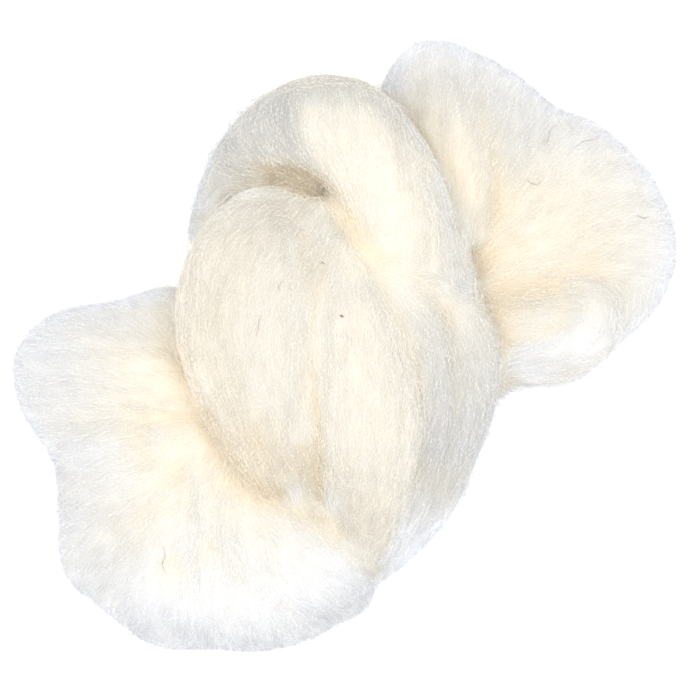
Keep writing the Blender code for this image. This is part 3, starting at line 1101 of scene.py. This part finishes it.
class ROVING_OT_fuzz(bpy.types.Operator):
    """Raise the loose fibres that stand off the wool in loops"""

    bl_idname = "roving.fuzz"
    bl_label = "Loose fuzz"

    # How far a loop keeps its own way at each step, against the run of the wool.
    FREE = 0.93
    # How many loops stand on open wool, and how many more where it thins out and where it is steep.
    OPEN_SHARE = 0.3
    EDGE_SHARE = 8.0
    STEEP_SHARE = 3.0
    # How much lighter than the wool the darkest and the lightest loops are.
    LIGHTS = (-0.30, 0.45)
    # The share of the loops that fly far off steep wool, how far, as a share of the reach, and how much
    # lighter they are.
    FLYAWAY = 0.16
    FLYAWAY_REACH = (0.55, 1.15)
    FLYAWAY_LIGHT = -0.9
    FLYAWAY_STEEP = 0.5
    # How the other loops' reach is spread: most are low and a few are high.
    REACH_SPREAD = (1.6, 2.6)
    CRIMP_LENGTH = 3.6 * MM
    LENGTHS = (0.7, 1.5)
    HEIGHTS = (0.3, 1.3)
    WIDTHS = (0.6, 1.2)
    BLUNTNESS = 0.8
    END_HEIGHT = 0.3
    END_WIDTH = 0.4
    # How far a loop's flat side rolls over, in radians, from loop to loop and with its waves.
    ROLL = 1.2
    WAVE_ROLL = 0.5
    # Light passes through a loop, so it is cooler than the wool below.
    WARMTH_SHARE = 0.6
    SEED = 23

    def execute(self, context):
        settings = context.scene.roving_fuzz
        facing = context.scene.roving_fibres.facing
        skin = the_skin()
        rng = np.random.default_rng(self.SEED)
        steep = 1 - np.abs(skin.on_faces(skin.normals[:, 2]))
        edge = self.EDGE_SHARE * skin.on_faces(skin.thin) + self.STEEP_SHARE * steep
        loops = for_this_look(settings.loops)
        faces, starts = skin.scattered(skin.open_faces() * (self.OPEN_SHARE + edge), loops, rng)
        heads = skin.faces[faces, 0]
        ways = turned(skin.flow[heads], skin.normals[heads], rng.uniform(-math.pi, math.pi, loops))
        walked = skin.walk(starts, ways, settings.points, settings.step, self.FREE)
        bow = bowed(np.linspace(0, 1, settings.points), self.BLUNTNESS)
        flyaway = rng.random((loops, 1)) < self.FLYAWAY * (steep[faces][:, None] > self.FLYAWAY_STEEP)
        lift = settings.reach * self.reaches(flyaway, rng) * bow
        length = self.CRIMP_LENGTH * rng.uniform(*self.LENGTHS, (loops, 1))
        height = settings.crimp_height * rng.uniform(*self.HEIGHTS, (loops, 1))
        height = tapered(height, self.END_HEIGHT, bow)
        paths, across, along, wave = crimped(walked, lift, (length, height), facing, rng)
        rolled = rng.uniform(-self.ROLL, self.ROLL, (loops, 1)) + self.WAVE_ROLL * wave
        across = turned(across, along, rolled)
        widths = tapered(settings.width * rng.uniform(*self.WIDTHS, (loops, 1)), self.END_WIDTH, bow)
        lighter = np.where(flyaway, self.FLYAWAY_LIGHT, rng.uniform(*self.LIGHTS, (loops, 1)))
        # Each loop takes the lightness of the wool below it, painted light and shade included.
        light = skin.on_faces(skin.light)[walked[2]] + lighter
        warmth = self.WARMTH_SHARE * skin.on_faces(skin.warmth())[walked[2]]
        fuzz = ribbons("fuzz", paths, across, widths, on_fibre_map(light, warmth))
        shown(fuzz, bpy.data.materials["wool_fibre"])
        return {"FINISHED"}

    def reaches(self, flyaway, rng):
        """How far each loop stands off the wool, as a share of the highest one's reach."""
        far = rng.uniform(*self.FLYAWAY_REACH, flyaway.shape)
        return np.where(flyaway, far, rng.beta(*self.REACH_SPREAD, flyaway.shape))


class ROVING_OT_strays(bpy.types.Operator):
    """Lay the few dark hairs and specks that are left in natural wool"""

    bl_idname = "roving.strays"
    bl_label = "Stray hairs"

    POINTS = 7
    HEIGHT = 1.0 * MM
    # The spacing of the points that are laid on the wool, in millimetres.
    SPACING = 0.3
    # Where on a bow from 0 to 1 a hair begins and ends, so that its ends are thin but not nothing.
    ENDS = (0.12, 0.88)

    def execute(self, context):
        skin = the_skin()
        paths, across, widths = [], [], []
        for width, line in STRAY_HAIRS.values():
            laid, normals = skin.laid(line, self.SPACING)
            picked = np.linspace(0, len(laid) - 1, self.POINTS).round().astype(int)
            laid, normals = laid[picked], normals[picked]
            paths.append(laid + normals * self.HEIGHT)
            across.append(unit(np.cross(normals, unit(np.gradient(laid, axis=0)))))
            widths.append(width * MM * bowed(np.linspace(*self.ENDS, self.POINTS), 1))
        on_map = np.full((len(paths), self.POINTS, 2), 0.5)
        mesh = ribbons("stray_hairs", np.array(paths), np.array(across), np.array(widths), on_map)
        shown(mesh, stray_finish())
        return {"FINISHED"}


class ROVING_OT_stage(bpy.types.Operator):
    """Set the pale floor, the soft light and the camera above the knot"""

    bl_idname = "roving.stage"
    bl_label = "Stage"

    LAMP_PLACE = (-0.10, -0.15, 2.5)
    WOOL_HEIGHT = 25 * MM

    def execute(self, context):
        settings = context.scene.roving_stage
        self.lay_floor(context.scene, settings.floor_size)
        self.light(context.scene, settings)
        self.place_camera(context.scene, settings)
        context.scene.view_settings.view_transform = "Standard"
        return {"FINISHED"}

    @staticmethod
    def lay_floor(scene, size):
        bm = bmesh.new()
        bmesh.ops.create_grid(bm, x_segments=1, y_segments=1, size=size / 2)
        mesh = bpy.data.meshes.new("floor")
        bm.to_mesh(mesh)
        bm.free()
        mesh.materials.append(floor_finish())
        floor = bpy.data.objects.new("floor", mesh)
        scene.collection.objects.link(floor)

    def light(self, scene, settings):
        world = bpy.data.worlds.new("soft_sky")
        world.use_nodes = True
        sky = world.node_tree.nodes["Background"]
        sky.inputs["Color"].default_value = (1.0, 1.0, 1.0, 1.0)
        sky.inputs["Strength"].default_value = settings.sky_strength
        scene.world = world
        lamp = bpy.data.lights.new("soft_lamp", "AREA")
        lamp.shape = "DISK"
        lamp.size = settings.key_size
        lamp.energy = settings.key_power
        key = bpy.data.objects.new("soft_lamp", lamp)
        key.location = self.LAMP_PLACE
        key.rotation_euler = Vector(self.LAMP_PLACE).to_track_quat("Z", "Y").to_euler()
        scene.collection.objects.link(key)

    def place_camera(self, scene, settings):
        data = bpy.data.cameras.new("camera")
        data.lens = settings.lens
        data.clip_end = 100.0
        camera = bpy.data.objects.new("camera", data)
        camera.location.z = self.WOOL_HEIGHT + settings.view_width * settings.lens / data.sensor_width
        scene.collection.objects.link(camera)
        scene.camera = camera


class ROVING_PT_panel(bpy.types.Panel):
    """Lists the steps that make the knot, and their sizes and colours"""

    bl_idname = "ROVING_PT_panel"
    bl_label = "Knotted wool roving"
    bl_space_type = "VIEW_3D"
    bl_region_type = "UI"
    bl_category = "Wool"

    def draw(self, context):
        for operator in OPERATORS:
            self.layout.operator(operator.bl_idname)
        for name, group in SETTINGS.items():
            box = self.layout.box()
            for setting in group.__annotations__:
                box.prop(getattr(context.scene, name), setting)


OPERATORS = (ROVING_OT_body, ROVING_OT_fibres, ROVING_OT_fuzz, ROVING_OT_strays, ROVING_OT_stage)
SETTINGS = {
    "roving_colours": RovingColourSettings,
    "roving_body": RovingBodySettings,
    "roving_fibres": RovingFibreSettings,
    "roving_fuzz": RovingFuzzSettings,
    "roving_stage": RovingStageSettings,
}


def register():
    for group in SETTINGS.values():
        bpy.utils.register_class(group)
    for operator in OPERATORS:
        bpy.utils.register_class(operator)
    bpy.utils.register_class(ROVING_PT_panel)
    for name, group in SETTINGS.items():
        setattr(bpy.types.Scene, name, bpy.props.PointerProperty(type=group))


def unregister():
    for name in SETTINGS:
        delattr(bpy.types.Scene, name)
    bpy.utils.unregister_class(ROVING_PT_panel)
    for operator in OPERATORS:
        bpy.utils.unregister_class(operator)
    for group in SETTINGS.values():
        bpy.utils.unregister_class(group)


def main():
    register()
    bpy.ops.roving.body()
    bpy.ops.roving.fibres()
    bpy.ops.roving.fuzz()
    bpy.ops.roving.strays()
    bpy.ops.roving.stage()


if __name__ == "__main__":
    main()
